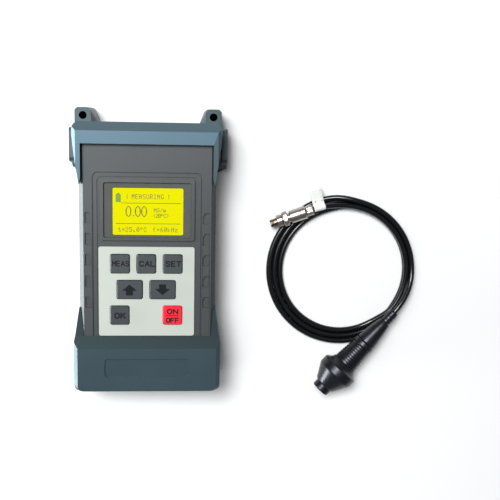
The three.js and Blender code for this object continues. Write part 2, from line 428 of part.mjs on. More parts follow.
// ------------------------------------------------------------ whole assembly
// origin: centre of the base of the meter and probe, without the cable and what is on it
const CABLE = ["cord_coil", "cord_probe_lead", "cord_plug_lead", "plug_back_nut", "plug_barrel", "plug_sleeve",
  "plug_front_sleeve", "plug_insert", "cord_label"];
const assembly = new THREE.Group();
assembly.add(meter);
assembly.updateMatrixWorld(true);
const base = new THREE.Box3();
meter.traverse((o) => {
  if (!o.isMesh || CABLE.includes(o.name)) return;
  const v = new THREE.Vector3(), p = o.geometry.attributes.position;
  for (let i = 0; i < p.count; i++) base.expandByPoint(v.fromBufferAttribute(p, i).applyMatrix4(o.matrixWorld));
});
export const SHIFT = [-(base.min.x + base.max.x) / 2, -(base.min.y + base.max.y) / 2, -base.min.z];
meter.position.set(...SHIFT);
export { base, polar, probePoint, plugPoint };
export default assembly;
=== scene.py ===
import bpy, bmesh, math, json
from mathutils import Vector, Matrix

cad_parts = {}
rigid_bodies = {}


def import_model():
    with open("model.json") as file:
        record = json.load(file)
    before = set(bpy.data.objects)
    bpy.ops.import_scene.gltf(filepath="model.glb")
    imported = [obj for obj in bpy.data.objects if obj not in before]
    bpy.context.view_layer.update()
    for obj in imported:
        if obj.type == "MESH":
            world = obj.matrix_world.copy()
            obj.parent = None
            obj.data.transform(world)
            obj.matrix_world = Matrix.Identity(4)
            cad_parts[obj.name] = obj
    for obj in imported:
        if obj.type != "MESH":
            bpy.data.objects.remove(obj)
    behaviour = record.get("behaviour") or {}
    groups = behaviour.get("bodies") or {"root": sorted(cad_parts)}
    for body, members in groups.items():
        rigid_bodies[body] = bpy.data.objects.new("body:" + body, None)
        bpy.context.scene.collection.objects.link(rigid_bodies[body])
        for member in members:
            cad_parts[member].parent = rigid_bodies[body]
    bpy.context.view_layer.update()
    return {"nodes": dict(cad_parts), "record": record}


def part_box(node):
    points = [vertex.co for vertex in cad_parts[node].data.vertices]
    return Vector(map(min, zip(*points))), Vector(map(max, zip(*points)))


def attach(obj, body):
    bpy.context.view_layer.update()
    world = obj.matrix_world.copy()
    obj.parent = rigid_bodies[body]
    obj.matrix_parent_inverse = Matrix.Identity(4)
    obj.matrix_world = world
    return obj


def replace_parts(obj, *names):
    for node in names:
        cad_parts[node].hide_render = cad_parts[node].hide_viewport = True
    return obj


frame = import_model()
_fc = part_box("front_case")
SX = (_fc[0][0] + _fc[1][0]) / 2
SY = _fc[0][1] + 0.0913
MM = 0.001
scene = bpy.context.scene
D2R = math.pi / 180


def P(x, y, z):
    """A point given in millimetres from the meter's own centre line, in the row frame."""
    return Vector((SX + x * MM, SY + y * MM, z * MM))


def node(n):
    return frame["nodes"][n] if isinstance(frame["nodes"], dict) else bpy.data.objects[n]


# ------------------------------------------------------------ camera
cam = bpy.data.objects.new("camera", bpy.data.cameras.new("camera"))
scene.collection.objects.link(cam)
cam.location = P(26.7459, 79.9998, 595.9209)
cam.rotation_euler = (-0.1416, -0.0727, 0.0175)
cam.data.sensor_width = 36
cam.data.lens = 1.6703 * 36
cam.data.clip_start, cam.data.clip_end = 0.01, 20
scene.camera = cam

# ------------------------------------------------------------ cable route (same as the CAD)
D = 4.0
COIL_C = (138.0, -19.3)
PROBE_K = 1.037
PROBE_NOSE = (123.2, -104.5, 13.3 * PROBE_K)
PROBE_TURN = 47.4
PLUG_BACK = (115.1, 26.4, 10.6)
PLUG_TURN, PLUG_DIP = 199.8, 3.5
T_OPEN, T_STACK = (80, 103), (302, 325)


def smooth(x):
    t = min(1.0, max(0.0, x))
    return t * t * (3 - 2 * t)


def middle(a):
    return 49.35 + 1.3 * math.sin(a * D2R) + 0.35 * math.cos(a * D2R)


def spread(a):
    b = a % 360
    if b < 180:
        return smooth((b - T_OPEN[0]) / (T_OPEN[1] - T_OPEN[0]))
    return 1 - smooth((b - T_STACK[0]) / (T_STACK[1] - T_STACK[0]))


def on_coil(a):
    n = math.floor((a + 360 - T_STACK[0]) / 360)
    t, local = spread(a), a % 360
    z = D / 2
    h = math.pi / 2
    if local < 180:
        off = [0.5 * (1 - t) + math.sin(t * h), 0.5 * (1 - t), -0.5 - 0.5 * t, -0.5][n]
        if n == 0:
            z = D / 2 + D * math.cos(t * h)
        if n == 3:
            z = 1.5 * D
    elif local >= T_STACK[0] and n == 0:
        off, z = 0.5, 1.5 * D
    else:
        m = n - 1 if local >= T_STACK[0] else n
        u = 1 - t
        off = [1 - 0.5 * u, -0.5 * u, -0.5 * u - math.cos(u * h)][m]
        if m == 2:
            z = D / 2 + D * math.sin(u * h)
    r = middle(a) + off * D * 1.012
    z *= 1.004
    return Vector((COIL_C[0] + r * math.cos(a * D2R), COIL_C[1] + r * math.sin(a * D2R), z))


def probe_point(s, side=0.0, up=0.0):
    c, n = math.cos(PROBE_TURN * D2R), math.sin(PROBE_TURN * D2R)
    return Vector((PROBE_NOSE[0] + s * c - side * n, PROBE_NOSE[1] + s * n + side * c, PROBE_NOSE[2] + up))


PLUG_DIR = Vector((
    math.cos(PLUG_TURN * D2R) * math.cos(PLUG_DIP * D2R),
    math.sin(PLUG_TURN * D2R) * math.cos(PLUG_DIP * D2R),
    -math.sin(PLUG_DIP * D2R)))


def plug_point(w):
    return Vector(PLUG_BACK) + PLUG_DIR * w


def bezier_join(p0, d0, p1, d1, n):
    """Points of one cubic from p0 along d0 to p1 arriving along d1."""
    length = (p1 - p0).length
    a, b = p0 + d0.normalized() * length * 0.36, p1 - d1.normalized() * length * 0.36
    out = []
    for i in range(n):
        t = i / n
        out.append(p0 * (1 - t) ** 3 + a * 3 * t * (1 - t) ** 2 + b * 3 * t * t * (1 - t) + p1 * t ** 3)
    return out


def route():
    start = probe_point(70.0)
    pts = [start, probe_point(74.0), probe_point(77.0)]
    A0, A1 = 6.0, 1080 + 92.0
    p0, d0 = probe_point(79.0), probe_point(80) - probe_point(79)
    p1, d1 = on_coil(A0), on_coil(A0 + 1) - on_coil(A0)
    pts += bezier_join(p0, d0, p1, d1, 12)
    a = A0
    while a < A1:
        pts.append(on_coil(a))
        a += 4.0
    p0, d0 = on_coil(A1), on_coil(A1) - on_coil(A1 - 1)
    p1, d1 = plug_point(-0.5), PLUG_DIR
    pts += bezier_join(p0, d0, p1, d1, 10)
    pts += [plug_point(-0.5), plug_point(1.5), plug_point(4.0)]
    # light smoothing so that no joint between the pieces kinks
    for _ in range(6):
        pts = [pts[0]] + [pts[i] * 0.5 + (pts[i - 1] + pts[i + 1]) * 0.25 for i in range(1, len(pts) - 1)] + [pts[-1]]
    return pts


ROUTE = route()

# ------------------------------------------------------------ materials


def lin(c):
    c = c / 255
    return c / 12.92 if c <= 0.04045 else ((c + 0.055) / 1.055) ** 2.4


def rgb(r, g, b):
    return (lin(r), lin(g), lin(b), 1)


def material(name, color, rough=0.5, metal=0.0, grain=0.0, grain_scale=2500, var=0.1, var_scale=25,
             rough_var=0.03, coat=0.0, specular=0.5, emission=None, emission_strength=0.0, streak=None, ior=1.5, tint=None):
    """Moulded, turned or printed finish: two scales of tone variation, uneven roughness and a fine surface grain."""
    m = bpy.data.materials.new(name)
    m.use_nodes = True
    nt = m.node_tree
    nt.nodes.clear()
    out = nt.nodes.new("ShaderNodeOutputMaterial")
    bsdf = nt.nodes.new("ShaderNodeBsdfPrincipled")
    nt.links.new(bsdf.outputs[0], out.inputs[0])
    co = nt.nodes.new("ShaderNodeTexCoord")
    src = co.outputs["Object"]
    if streak:
        mp = nt.nodes.new("ShaderNodeMapping")
        mp.inputs["Scale"].default_value = streak
        nt.links.new(src, mp.inputs[0])
        src = mp.outputs[0]
    n1 = nt.nodes.new("ShaderNodeTexNoise")
    n1.inputs["Scale"].default_value = var_scale
    n1.inputs["Detail"].default_value = 5
    n1.inputs["Roughness"].default_value = 0.6
    nt.links.new(src, n1.inputs["Vector"])
    ramp = nt.nodes.new("ShaderNodeValToRGB")
    ramp.color_ramp.elements[0].position = 0.25
    ramp.color_ramp.elements[1].position = 0.75
    ramp.color_ramp.elements[0].color = tuple(max(0.0, c * (1 - var)) for c in color[:3]) + (1,)
    ramp.color_ramp.elements[1].color = tuple(min(1.0, c * (1 + var)) for c in color[:3]) + (1,)
    nt.links.new(n1.outputs[0], ramp.inputs[0])
    nt.links.new(ramp.outputs[0], bsdf.inputs["Base Color"])
    n2 = nt.nodes.new("ShaderNodeTexNoise")
    n2.inputs["Scale"].default_value = var_scale * 1.7
    n2.inputs["Detail"].default_value = 4
    nt.links.new(src, n2.inputs["Vector"])
    mr = nt.nodes.new("ShaderNodeMapRange")
    mr.inputs["From Min"].default_value = 0.3
    mr.inputs["From Max"].default_value = 0.7
    mr.inputs["To Min"].default_value = max(0.02, rough - rough_var)
    mr.inputs["To Max"].default_value = min(1.0, rough + rough_var)
    nt.links.new(n2.outputs[0], mr.inputs["Value"])
    nt.links.new(mr.outputs[0], bsdf.inputs["Roughness"])
    bsdf.inputs["Metallic"].default_value = metal
    bsdf.inputs["IOR"].default_value = ior
    bsdf.inputs["Specular IOR Level"].default_value = specular
    bsdf.inputs["Coat Weight"].default_value = coat
    bsdf.inputs["Coat Roughness"].default_value = 0.12
    if tint:
        bsdf.inputs["Specular Tint"].default_value = (*tint, 1)
    if grain:
        n3 = nt.nodes.new("ShaderNodeTexNoise")
        n3.inputs["Scale"].default_value = grain_scale
        n3.inputs["Detail"].default_value = 2
        nt.links.new(src, n3.inputs["Vector"])
        bp = nt.nodes.new("ShaderNodeBump")
        bp.inputs["Strength"].default_value = grain
        bp.inputs["Distance"].default_value = 0.0002
        nt.links.new(n3.outputs[0], bp.inputs["Height"])
        nt.links.new(bp.outputs[0], bsdf.inputs["Normal"])
    if emission:
        bsdf.inputs["Emission Color"].default_value = emission
        bsdf.inputs["Emission Strength"].default_value = emission_strength
    return m


M = {
    "case_grey": material("case_grey", (0.037, 0.043, 0.046), 0.46, grain=0.25, grain_scale=2600, var=0.025),
    "bumper_blue": material("bumper_blue", (0.030, 0.050, 0.062), 0.38, grain=0.2, grain_scale=2200, var=0.03, tint=(0.7, 0.93, 1.0)),
    # The next five are lit and shaded copies of the blue bumper plastic. The darker copies are painted shade: on the
    # bottom bumper's slope, the top bumper's bevel and sides, its right wing and its lugs. The last is a lighter copy,
    # painted light on the top bumper.
    "bumper_shade": material("bumper_shade", (0.009, 0.017, 0.019), 0.5, grain=0.2, grain_scale=2200, var=0.03, tint=(0.7, 0.93, 1.0), specular=0.35),
    "bumper_bevel": material("bumper_bevel", (0.044, 0.070, 0.085), 0.4, grain=0.2, grain_scale=2200, var=0.03, tint=(0.7, 0.93, 1.0)),
    "bumper_wing": material("bumper_wing", (0.034, 0.056, 0.072), 0.42, grain=0.2, grain_scale=2200, var=0.03, tint=(0.7, 0.93, 1.0)),
    "bumper_lug": material("bumper_lug", (0.026, 0.042, 0.048), 0.42, grain=0.2, grain_scale=2200, var=0.03, tint=(0.7, 0.93, 1.0)),
    "bumper_top": material("bumper_top", (0.070, 0.128, 0.175), 0.38, grain=0.2, grain_scale=2200, var=0.03, tint=(0.7, 0.93, 1.0)),
    "bezel_grey": material("bezel_grey", (0.050, 0.056, 0.058), 0.34, grain=0.15, var=0.04),
    "lcd_yellow": material("lcd_yellow", (0.60, 0.575, 0.001), 0.5, var=0.03, var_scale=12, emission=(0.80, 0.76, 0.0, 1), emission_strength=0.2, specular=0.0),
    "lcd_ink": material("lcd_ink", (0.045, 0.05, 0.004), 0.6, var=0.05, var_scale=900),
    "lcd_green": material("lcd_green", (0.16, 0.30, 0.004), 0.5, var=0.12, var_scale=500),
    "window_mask": material("window_mask", (0.062, 0.066, 0.060), 0.6, var=0.08, var_scale=60),
    "overlay_white": material("overlay_white", (0.47, 0.505, 0.455), 0.6, grain=0.1, grain_scale=3500, var=0.015, specular=0.3),
    "key_slate": material("key_slate", (0.028, 0.036, 0.040), 0.45, grain=0.18, grain_scale=3000, var=0.08, var_scale=90),
    "key_red": material("key_red", (0.80, 0.010, 0.025), 0.5, grain=0.18, grain_scale=3000, var=0.05, var_scale=90, specular=0.3),
    "legend_dark": material("legend_dark", (0.003, 0.004, 0.006), 0.6, var=0.15, var_scale=400, specular=0.2),
    "legend_red": material("legend_red", (0.035, 0.003, 0.006), 0.6, var=0.15, var_scale=400, specular=0.2),
    "stand_dark": material("stand_dark", (0.030, 0.052, 0.054), 0.42, grain=0.3, var=0.06),
    "hole_dark": material("hole_dark", (0.004, 0.005, 0.006), 0.8, var=0.2, var_scale=200, specular=0.1),
    "probe_black": material("probe_black", (0.0042, 0.0045, 0.0062), 0.33, var=0.2, var_scale=120, tint=(0.85, 0.88, 1.0)),
    "cord_black": material("cord_black", (0.0040, 0.0040, 0.0055), 0.2, var=0.2, var_scale=60),
    "nickel": material("nickel", (0.47, 0.425, 0.395), 0.3, metal=1.0, var=0.08, var_scale=150, rough_var=0.03),
    "nickel_warm": material("nickel_warm", (0.19, 0.14, 0.11), 0.3, metal=1.0, var=0.2, var_scale=300, rough_var=0.1),
    "insert_tan": material("insert_tan", (0.20, 0.15, 0.08), 0.5, var=0.1, var_scale=300),
    "screw_steel": material("screw_steel", (0.42, 0.43, 0.45), 0.3, metal=1.0, grain=0.05, var=0.1, var_scale=300),
    "circuit_board": material("circuit_board", (0.010, 0.11, 0.045), 0.35, var=0.12, var_scale=90),
    "black_plastic": material("black_plastic", (0.010, 0.010, 0.011), 0.35, var=0.1, var_scale=200),
    "contact_metal": material("contact_metal", (0.5, 0.5, 0.51), 0.3, metal=1.0, var=0.06, var_scale=200),
    "cell_jacket": material("cell_jacket", (0.03, 0.045, 0.075), 0.3, var=0.12, var_scale=40),
    "ferrite": material("ferrite", (0.03, 0.03, 0.032), 0.7, grain=0.5, var=0.15, var_scale=400),
    "copper_wire": material("copper_wire", (0.44, 0.125, 0.04), 0.3, metal=1.0, var=0.1, var_scale=500),
    "label_white": material("label_white", (0.80, 0.80, 0.78), 0.65, grain=0.12, grain_scale=1500, var=0.02, var_scale=200, specular=0.2),
    "label_print": material("label_print", (0.10, 0.10, 0.105), 0.7, var=0.2, var_scale=800),
    "pale_floor": material("pale_floor", (0.86, 0.86, 0.86), 0.8, var=0.006, var_scale=6, specular=0.1),
}


def clear_lens():
    """Polished clear window: see-through, with Fresnel gloss and a trace of scatter."""
    m = bpy.data.materials.new("lens")
    m.use_nodes = True
    nt = m.node_tree
    nt.nodes.clear()
    out = nt.nodes.new("ShaderNodeOutputMaterial")
    mix = nt.nodes.new("ShaderNodeMixShader")
    tr = nt.nodes.new("ShaderNodeBsdfTransparent")
    gl = nt.nodes.new("ShaderNodeBsdfPrincipled")
    gl.inputs["Base Color"].default_value = (0.02, 0.02, 0.02, 1)
    gl.inputs["Roughness"].default_value = 0.09
    gl.inputs["Specular IOR Level"].default_value = 0.5
    n = nt.nodes.new("ShaderNodeTexNoise")
    n.inputs["Scale"].default_value = 35
    co = nt.nodes.new("ShaderNodeTexCoord")
    nt.links.new(co.outputs["Object"], n.inputs["Vector"])
    mr = nt.nodes.new("ShaderNodeMapRange")
    mr.inputs["To Min"].default_value = 0.05
    mr.inputs["To Max"].default_value = 0.14
    nt.links.new(n.outputs[0], mr.inputs["Value"])
    nt.links.new(mr.outputs[0], gl.inputs["Roughness"])
    fr = nt.nodes.new("ShaderNodeFresnel")
    fr.inputs["IOR"].default_value = 1.5
    add = nt.nodes.new("ShaderNodeMath")
    add.operation = "ADD"
    add.inputs[1].default_value = 0.0
    nt.links.new(fr.outputs[0], add.inputs[0])
    geo = nt.nodes.new("ShaderNodeNewGeometry")
    front = nt.nodes.new("ShaderNodeMath")
    front.operation = "SUBTRACT"
    front.inputs[0].default_value = 1.0
    nt.links.new(geo.outputs["Backfacing"], front.inputs[1])
    gate = nt.nodes.new("ShaderNodeMath")
    gate.operation = "MULTIPLY"
    nt.links.new(add.outputs[0], gate.inputs[0])
    nt.links.new(front.outputs[0], gate.inputs[1])
    nt.links.new(gate.outputs[0], mix.inputs[0])
    nt.links.new(tr.outputs[0], mix.inputs[1])
    nt.links.new(gl.outputs[0], mix.inputs[2])
    nt.links.new(mix.outputs[0], out.inputs[0])
    return m


M["lens"] = clear_lens()


def paint(obj, key):
    obj.data.materials.clear()
    obj.data.materials.append(M[key])


# ------------------------------------------------------------ carried-over CAD nodes
SLOT = {r["node"]: r["material_slot"] for r in frame["record"]["subparts"]}
for name, s in SLOT.items():
    if s in M:
        paint(node(name), s)
    node(name).data.polygons.foreach_set("use_smooth", [True] * len(node(name).data.polygons))


def darken_holes(name, centres, radius):
    """Paints shade on the walls of the strap holes: a near-black material standing in for the shaded inside of a deep
    moulded hole.
    """
    o = node(name)
    o.data.materials.append(M["hole_dark"])
    for f in o.data.polygons:
        c = o.matrix_world @ f.center
        for (x, y) in centres:
            q = P(x, y, 0)
            d = Vector((c.x - q.x, c.y - q.y, 0))
            n = o.matrix_world.to_3x3() @ f.normal
            if d.length < radius * MM and abs(n.z) < 0.3 and n.dot(d) < 0:
                f.material_index = 1


def tone(name, key, test):
    """Paints a lighter or darker copy of the same plastic, as painted light or painted shade, on the faces that pass
    the test (centre in mm from the meter's centre line, normal).
    """
    o = node(name)
    o.data.materials.append(M[key])
    k = len(o.data.materials) - 1
    for f in o.data.polygons:
        c = o.matrix_world @ f.center
        n = o.matrix_world.to_3x3() @ f.normal
        if f.material_index == 0 and test(((c.x - SX) / MM, (c.y - SY) / MM, c.z / MM), n):
            f.material_index = k


def soften(name, width, segments=3, angle=28):
    """Merges the flat facets and rounds the edges of a CAD node, as a mould does."""
    o = node(name)
    d = o.modifiers.new("flats", "DECIMATE")
    d.decimate_type = "DISSOLVE"
    d.angle_limit = 0.6 * D2R
    d.delimit = {"MATERIAL"}
    b = o.modifiers.new("edges", "BEVEL")
    b.width = width * MM
    b.segments = segments
    b.limit_method = "ANGLE"
    b.angle_limit = angle * D2R
    b.harden_normals = True
    b.use_clamp_overlap = True
    b.miter_outer = "MITER_ARC"
    w = o.modifiers.new("normals", "WEIGHTED_NORMAL")
    w.keep_sharp = True
    return o


# Painted light and shade on the bumpers. A lighter copy of the plastic on the top bumper stands in for the light that
# falls on it. Darker copies stand in for shade on its lugs, bevel, right wing, sides and undersides, and on the bottom
# bumper's slope.
paint(node("top_bumper"), "bumper_top")
darken_holes("top_bumper", [(43.5, 89.3), (-43.5, 89.3)], 3.0)
tone("top_bumper", "bumper_lug", lambda c, n: c[1] > 85.6)
tone("top_bumper", "bumper_bevel", lambda c, n: n.y > 0.12 and c[1] > 79)
tone("top_bumper", "bumper_lug", lambda c, n: abs(c[0]) > 36 and c[1] > 82 and c[2] < 42)
tone("top_bumper", "bumper_wing", lambda c, n: c[0] > 43.6 and c[1] < 79)
tone("top_bumper", "bumper_bevel", lambda c, n: abs(n.x) > 0.8 or n.z < -0.3)
tone("bottom_bumper", "bumper_shade", lambda c, n: c[1] > -65.9 and n.z > 0.3)
soften("top_bumper", 0.9, 4)
soften("bottom_bumper", 0.9, 4)
soften("front_case", 0.28, 2)
soften("rear_case", 0.28, 2)
soften("battery_door", 0.3, 2)
soften("display_bezel", 0.4, 3)
soften("display_lens", 0.15, 2)
soften("keypad_overlay", 0.12, 2)
soften("tilt_stand", 0.5, 3)
for k in ("meas_key", "cal_key", "set_key", "up_key", "down_key", "ok_key", "power_key"):
    soften(k, 0.3, 3)
for n in ("stand_pin_left", "stand_pin_right", "socket_nut", "lcd_board", "main_board", "lcd_panel"):
    soften(n, 0.15, 2)

# ------------------------------------------------------------ mesh helpers


def mesh_object(name, verts, faces, mat, smooth=True, body="root"):
    me = bpy.data.meshes.new(name)
    me.from_pydata([tuple(v) for v in verts], [], faces)
    me.validate()
    bm = bmesh.new()
    bm.from_mesh(me)
    bmesh.ops.recalc_face_normals(bm, faces=bm.faces)
    bm.to_mesh(me)
    bm.free()
    o = bpy.data.objects.new(name, me)
    scene.collection.objects.link(o)
    if smooth:
        me.polygons.foreach_set("use_smooth", [True] * len(me.polygons))
    me.materials.append(M[mat])
    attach(o, body)
    return o


def fillet(pts, r):
    """Rounds the corners of a closed [radius, height] profile."""
    out = []
    n = len(pts)
    for i in range(n):
        p, a, b = Vector(pts[i]), Vector(pts[i - 1]), Vector(pts[(i + 1) % n])
        if p.x < 1e-6:
            out.append(tuple(p))
            continue
        u, v = a - p, b - p
        if u.length < 1e-6 or v.length < 1e-6:
            out.append(tuple(p))
            continue
        k = min(r, u.length * 0.45, v.length * 0.45)
        if (u.normalized() + v.normalized()).length < 0.12:
            out.append(tuple(p))
            continue
        s, e = p + u.normalized() * k, p + v.normalized() * k
        for j in range(4):
            t = j / 3
            out.append(tuple(s * (1 - t) ** 2 + p * 2 * t * (1 - t) + e * t * t))
    return out


def lathe(name, pts, origin, axis, mat, n=96, body="probe_set", r=0.2, wobble=None):
    """Turned body from a closed [radius, distance] profile in mm about an axis in the row frame."""
    prof = []
    raw = fillet(pts, r)
    for i, p in enumerate(raw):
        prof.append(p)
        nxt = raw[(i + 1) % len(raw)]
        gap = math.dist(p, nxt)
        if gap > 0.9:
            steps = [0.12 / gap, 1 - 0.12 / gap] if gap < 1.8 else [0.12 / gap] + [j / math.ceil(gap / 1.4) for j in range(1, math.ceil(gap / 1.4))] + [1 - 0.12 / gap]
            for t in steps:
                prof.append((p[0] + (nxt[0] - p[0]) * t, p[1] + (nxt[1] - p[1]) * t))
    q = axis.normalized().to_track_quat("Z", "Y").to_matrix()
    verts, faces = [], []
    rings = []
    for (rad, h) in prof:
        if rad < 1e-6:
            rings.append([len(verts)])
            verts.append(origin + q @ Vector((0, 0, h)) * MM)
        else:
            ring = []
            for i in range(n):
                a = 2 * math.pi * i / n
                rr = rad + (wobble(rad, h, a) if wobble else 0)
                ring.append(len(verts))
                verts.append(origin + q @ Vector((rr * math.cos(a), rr * math.sin(a), h)) * MM)
            rings.append(ring)
    m = len(rings)
    for i in range(m):
        A, B = rings[i], rings[(i + 1) % m]
        if len(A) == 1 and len(B) == 1:
            continue
        for j in range(n):
            k = (j + 1) % n
            if len(A) == 1:
                faces.append((A[0], B[j], B[k]))
            elif len(B) == 1:
                faces.append((A[j], A[k], B[0]))
            else:
                faces.append((A[j], A[k], B[k], B[j]))
    o = mesh_object(name, verts, faces, mat, True, body)
    return o


def slab(name, outline, z0, z1, mat, body="root", holes=(), bevel=0.0):
    """A flat plate from an outline in mm (meter frame), with holes, via a filled curve."""
    cu = bpy.data.curves.new(name, "CURVE")
    cu.dimensions = "2D"
    cu.fill_mode = "BOTH"
    cu.extrude = (z1 - z0) / 2 * MM
    cu.bevel_depth = bevel * MM
    for ring in (outline, *holes):
        sp = cu.splines.new("POLY")
        sp.points.add(len(ring) - 1)
        for i, (x, y) in enumerate(ring):
            p = P(x, y, 0)
            sp.points[i].co = (p.x, p.y, 0, 1)
        sp.use_cyclic_u = True
    tmp = bpy.data.objects.new(name + "_tmp", cu)
    scene.collection.objects.link(tmp)
    me = bpy.data.meshes.new_from_object(tmp.evaluated_get(bpy.context.evaluated_depsgraph_get()))
    bpy.data.objects.remove(tmp)
    zc = (z0 + z1) / 2 * MM
    for v in me.vertices:
        v.co.z += zc
    bm = bmesh.new()
    bm.from_mesh(me)
    bmesh.ops.remove_doubles(bm, verts=bm.verts, dist=1e-7)
    bmesh.ops.recalc_face_normals(bm, faces=bm.faces)
    bm.to_mesh(me)
    bm.free()
    o = bpy.data.objects.new(name, me)
    scene.collection.objects.link(o)
    me.materials.clear()
    me.materials.append(M[mat])
    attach(o, body)
    return o


def round_rect(x0, x1, y0, y1, r, n=8):
    pts = []
    for cx, cy, a0 in ((x1 - r, y1 - r, 0), (x0 + r, y1 - r, 90), (x0 + r, y0 + r, 180), (x1 - r, y0 + r, 270)):
        for i in range(n + 1):
            a = (a0 + 90 * i / n) * D2R
            pts.append((cx + r * math.cos(a), cy + r * math.sin(a)))
    return pts


# a near-black disc in each strap hole, painted shade for the unlit depth of the hole
for side, hx in (("left", -43.5), ("right", 43.5)):
    slab("strap_hole_painted_shade_" + side, [(hx + 2.75 * math.cos(a * D2R), 89.3 + 2.75 * math.sin(a * D2R)) for a in range(0, 360, 15)], 8.0, 8.6, "hole_dark")

# ------------------------------------------------------------ cable
cu = bpy.data.curves.new("probe_cable", "CURVE")
cu.dimensions = "3D"
cu.bevel_depth = D / 2 * MM
cu.bevel_resolution = 6
cu.use_fill_caps = True
sp = cu.splines.new("POLY")
sp.points.add(len(ROUTE) - 1)
for i, p in enumerate(ROUTE):
    q = P(p.x, p.y, p.z)
    sp.points[i].co = (q.x, q.y, q.z, 1)
sp.use_smooth = True
cable = bpy.data.objects.new("probe_cable", cu)
scene.collection.objects.link(cable)
cu.materials.append(M["cord_black"])
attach(cable, "probe_set")
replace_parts(cable, "cord_coil", "cord_probe_lead", "cord_plug_lead")

# ------------------------------------------------------------ probe, finely turned
K = PROBE_K
ORG = P(*PROBE_NOSE)
AX = Vector((math.cos(PROBE_TURN * D2R), math.sin(PROBE_TURN * D2R), 0))


def turned(name, node_name, pts, n=96, r=0.2, mat="probe_black", wobble=None):
    o = lathe(name, [(a * K, b * K) for a, b in pts], ORG, AX, mat, n, "probe_set", r, wobble)
    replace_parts(o, node_name)
    return o


turned("probe_nose", "probe_tip", [(0, 0.12), (3.4, 0.12), (3.5, 0), (5.7, 0), (6.2, 0.5), (6.2, 4.6), (4.8, 4.6), (4.8, 2.0), (0, 2.0)], r=0.35)
turned("probe_flare", "probe_skirt", [(4.8, 4.62), (7.0, 4.8), (7.6, 5.3), (10.3, 10.1), (13.0, 14.9), (13.28, 15.8), (13.28, 20.6), (12.9, 21.3),
       (11.0, 22.4), (9.6, 24.0), (9.0, 25.6), (7.0, 25.6), (7.0, 12), (4.8, 8.8)], r=0.5)
ribs = [(5.0, 25.9), (8.55, 25.9)]
for i in range(8):
    g = 27.6 + i * 1.85
    rr = 8.72 - (g - 25.9) * 0.098
    ribs += [(rr, g - 0.32), (rr - 0.3, g - 0.14), (rr - 0.3, g + 0.14), (rr, g + 0.32)]
ribs += [(7.1, 42.1), (5.0, 42.1)]
turned("probe_ribbed_body", "probe_body", ribs, r=0.1)
turned("probe_ring", "probe_collar", [(3.6, 42.4), (7.0, 42.4), (7.4, 42.8), (7.4, 45.6), (7.0, 46), (3.6, 46)], r=0.25)
turned("probe_taper", "probe_tail", [(2.4, 46.3), (7.0, 46.3), (7.05, 47), (6.75, 49.5), (6.3, 52.6), (5.8, 56), (5.25, 59.5), (4.6, 63), (4.05, 65.2), (3.85, 65.8), (2.4, 65.8)], r=0.4)
turned("probe_boot", "cord_boot", [(2.0, 66.1), (3.5, 66.1), (3.5, 67.6), (3.25, 67.9), (3.25, 68.5), (3.45, 68.8), (3.45, 70.3), (3.2, 70.6), (3.2, 71.2), (3.4, 71.5),
       (3.1, 74.6), (2.6, 75.5), (2.0, 75.6)], r=0.2)

# ------------------------------------------------------------ plug
PORG = P(*PLUG_BACK)
fine = lambda name, node_name, pts, mat="nickel", body="probe_set", n=96, r=0.12, wobble=None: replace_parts(
    lathe(name, pts, PORG, PLUG_DIR, mat, n, body, r, wobble), node_name)
oct_ = lambda rad, h, a: (0.0 if rad < 3.0 else -0.32 * (1 - abs(math.cos(5 * a))) * min(1, max(0, (h - 0.3) / 0.6)))
fine("plug_nut", "plug_back_nut", [(2.05, 0), (3.1, 0), (3.6, 0.5), (3.6, 4.5), (3.25, 4.9), (2.05, 4.9)], wobble=oct_, n=160)
fine("plug_body", "plug_barrel", [(2.05, 5.2), (3.5, 5.2), (3.6, 5.5), (4.35, 5.6), (4.7, 6.0), (4.7, 9.2), (4.6, 9.3), (4.6, 9.7), (4.7, 9.8), (4.7, 16.6), (4.4, 17.1), (3.3, 17.2), (3.3, 26.4),
      (2.95, 26.4), (2.95, 18), (2.05, 17)])
knurl = lambda rad, h, a: (0.06 * math.cos(60 * a) if rad > 5.2 and 19.2 < h < 21.8 else 0.0)
fine("plug_grip", "plug_sleeve", [(3.6, 18.4), (4.9, 18.4), (5.3, 18.8), (5.3, 19.3), (5.24, 19.4), (5.24, 21.6), (5.3, 21.7), (5.3, 22.1), (4.9, 22.5), (4.0, 22.8), (3.9, 22.95), (4.0, 23.1),
      (4.4, 23.4), (4.4, 26.2), (4.1, 26.7), (3.6, 26.7)], body="plug_sleeve", n=240, wobble=knurl)
paint(node("plug_front_sleeve"), "nickel_warm")
paint(node("plug_insert"), "insert_tan")
soften("plug_front_sleeve", 0.1, 2)

# label folded round the cable behind the plug
lab_c, lab_t = None, None
best = None
acc = 0.0
target = plug_point(-5.0)
for i, p in enumerate(ROUTE):
    if best is None or (p - target).length < best[0]:
        best = ((p - target).length, i)
i0 = best[1]
lab_c = ROUTE[i0]
lab_t = (ROUTE[i0 + 1] - ROUTE[i0 - 1]).normalized()
lab_n = Vector((-lab_t.y, lab_t.x, 0)).normalized()
if lab_n.y < 0:
    lab_n = -lab_n
lab_b = lab_t.cross(lab_n).normalized()
if lab_b.z < 0:
    lab_b = -lab_b
TH = 0.13
prof = []
R1 = D / 2 + 0.06
for k in range(15):  # round the cable, open side towards the flag
    a = (28 + (360 - 56) * k / 14) * D2R
    prof.append((R1 * math.cos(a), R1 * math.sin(a)))
flag_len = 14.4
top_pts = [(R1 + 0.9, 0.30), (R1 + 1.8, 0.14), (R1 + 4, 0.10), (R1 + 7.5, 0.12), (R1 + 10.5, 0.10), (flag_len, 0.09)]
inner = [(x, y) for x, y in reversed(top_pts)]
path2d = [(x, y) for x, y in reversed(top_pts)] + prof + [(x, -y) for x, y in top_pts]
